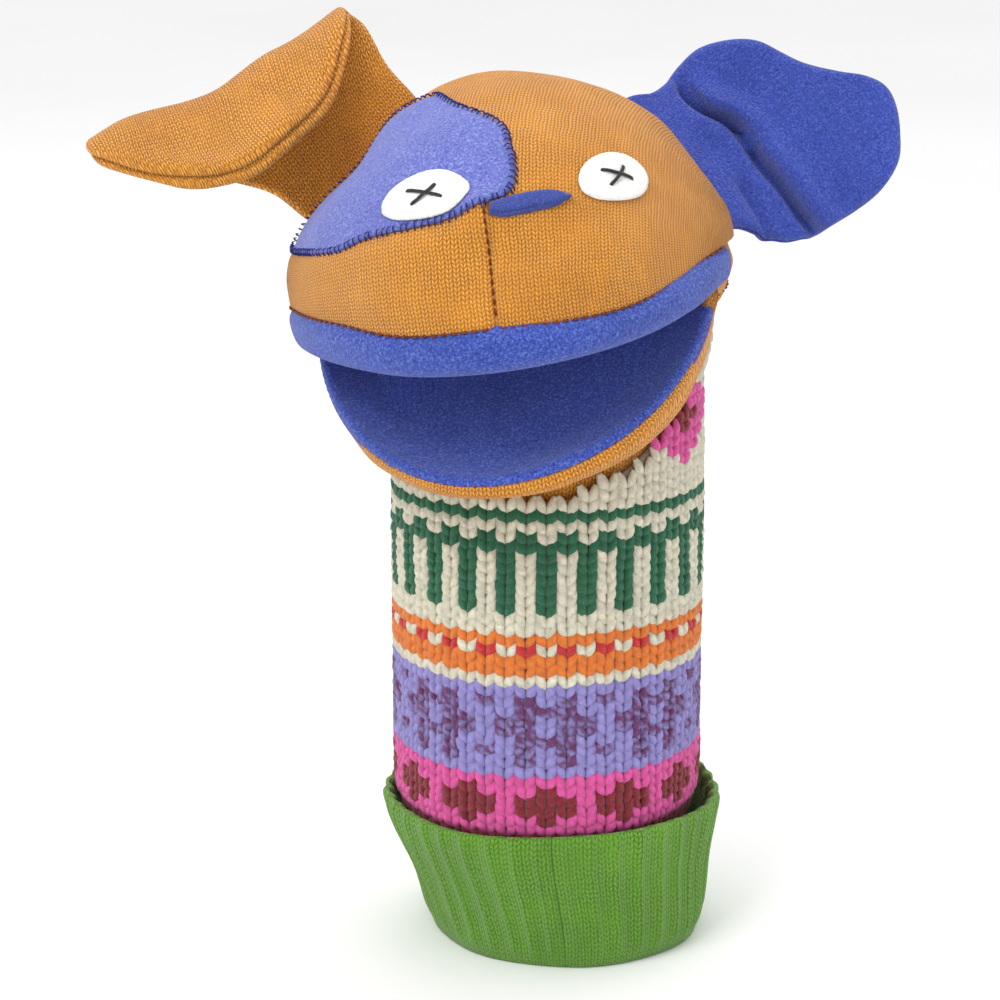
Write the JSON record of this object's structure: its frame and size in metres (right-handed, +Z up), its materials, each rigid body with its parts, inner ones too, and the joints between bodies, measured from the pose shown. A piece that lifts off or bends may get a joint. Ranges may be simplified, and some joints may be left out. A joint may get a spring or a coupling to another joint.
{
  "type": "hand puppet",
  "caption": "Dog-faced hand puppet of felted sweater knit with a patterned sleeve, a turned-up cuff, a hinged mouth and two folded floppy ears.",
  "frame": {"origin": "centre of the arm opening at the cuff's bottom edge", "axes": "+Z up the sleeve towards the head; the face looks along -Y; the mustard ear is on the -X side"},
  "size_m": [0.2546, 0.1605, 0.2944],
  "materials": {
    "patterned_knit": "chunky patterned wool knit",
    "green_rib": "felted rib knit",
    "seam_thread": "sewing thread",
    "mustard_knit": "fine felted wool knit",
    "blue_felt": "boiled wool knit",
    "card": "stiff board",
    "patch_felt": "heathered boiled wool",
    "blue_thread": "sewing thread",
    "nose_felt": "felt",
    "white_felt": "felt",
    "charcoal_thread": "embroidery thread"
  },
  "bodies": {
    "sleeve": {"sleeve_lower": "patterned_knit", "ribbed_cuff": "green_rib", "cuff_join_thread": "seam_thread"},
    "neck": {"sleeve_upper": "patterned_knit"},
    "head": {"neck_seam": "seam_thread", "crown_panel": "mustard_knit", "nape_panel": "mustard_knit", "palate_lining": "blue_felt", "upper_mouth_board": "card", "upper_lip_seam": "seam_thread", "muzzle_dart_seam": "seam_thread", "eye_patch": "patch_felt", "patch_stitching": "blue_thread", "nose": "nose_felt", "patch_side_eye": "white_felt", "crown_side_eye": "white_felt", "patch_side_eye_cross": "charcoal_thread", "crown_side_eye_cross": "charcoal_thread"},
    "jaw": {"mouth_floor_lining": "blue_felt", "lower_mouth_board": "card", "chin_panel": "mustard_knit", "lower_lip_seam": "seam_thread"},
    "mustard_ear_root": {"mustard_ear_root_front": "mustard_knit", "mustard_ear_root_back": "mustard_knit"},
    "mustard_ear_flap": {"mustard_ear_flap_front": "mustard_knit", "mustard_ear_flap_back": "mustard_knit"},
    "blue_ear_root": {"blue_ear_root_front": "blue_felt", "blue_ear_root_back": "blue_felt"},
    "blue_ear_lobe": {"blue_ear_lobe_front": "blue_felt", "blue_ear_lobe_back": "blue_felt"}
  },
  "joints": [
    {"name": "head_turn", "type": "hinge", "parent": "sleeve", "child": "neck", "pos_m": [0, 0, 0.205], "axis": [0, 0, 1], "range_deg": [-35, 35], "stiffness_Nm_per_rad": 4},
    {"name": "head_nod", "type": "hinge", "parent": "neck", "child": "head", "pos_m": [0, 0, 0.205], "axis": [0.9806, -0.1378, 0.1392], "range_deg": [-18, 5], "stiffness_Nm_per_rad": 6},
    {"name": "jaw_open", "type": "hinge", "parent": "head", "child": "jaw", "pos_m": [-0.00459, -0.02965, 0.20797], "axis": [0.9806, -0.1378, 0.1392], "range_deg": [-32, 10], "stiffness_Nm_per_rad": 1},
    {"name": "mustard_ear_lift", "type": "hinge", "parent": "head", "child": "mustard_ear_root", "pos_m": [-0.06746, 0.00225, 0.25317], "axis": [0.5699, 0.4193, 0.7067], "range_deg": [-25, 20], "stiffness_Nm_per_rad": 0.6},
    {"name": "mustard_ear_fold", "type": "hinge", "parent": "mustard_ear_root", "child": "mustard_ear_flap", "pos_m": [-0.06918, 0.01773, 0.28924], "axis": [-0.812, -0.3287, -0.4823], "range_deg": [-28, 60], "stiffness_Nm_per_rad": 0.3},
    {"name": "blue_ear_lift", "type": "hinge", "parent": "head", "child": "blue_ear_root", "pos_m": [0.04498, 0.0014, 0.25934], "axis": [-0.6958, 0.3907, 0.6027], "range_deg": [-25, 25], "stiffness_Nm_per_rad": 0.6},
    {"name": "blue_ear_fold", "type": "hinge", "parent": "blue_ear_root", "child": "blue_ear_lobe", "pos_m": [0.06211, 0.00389, 0.25244], "axis": [0.6137, -0.2398, -0.7523], "range_deg": [-40, 40], "stiffness_Nm_per_rad": 0.3}
  ]
}
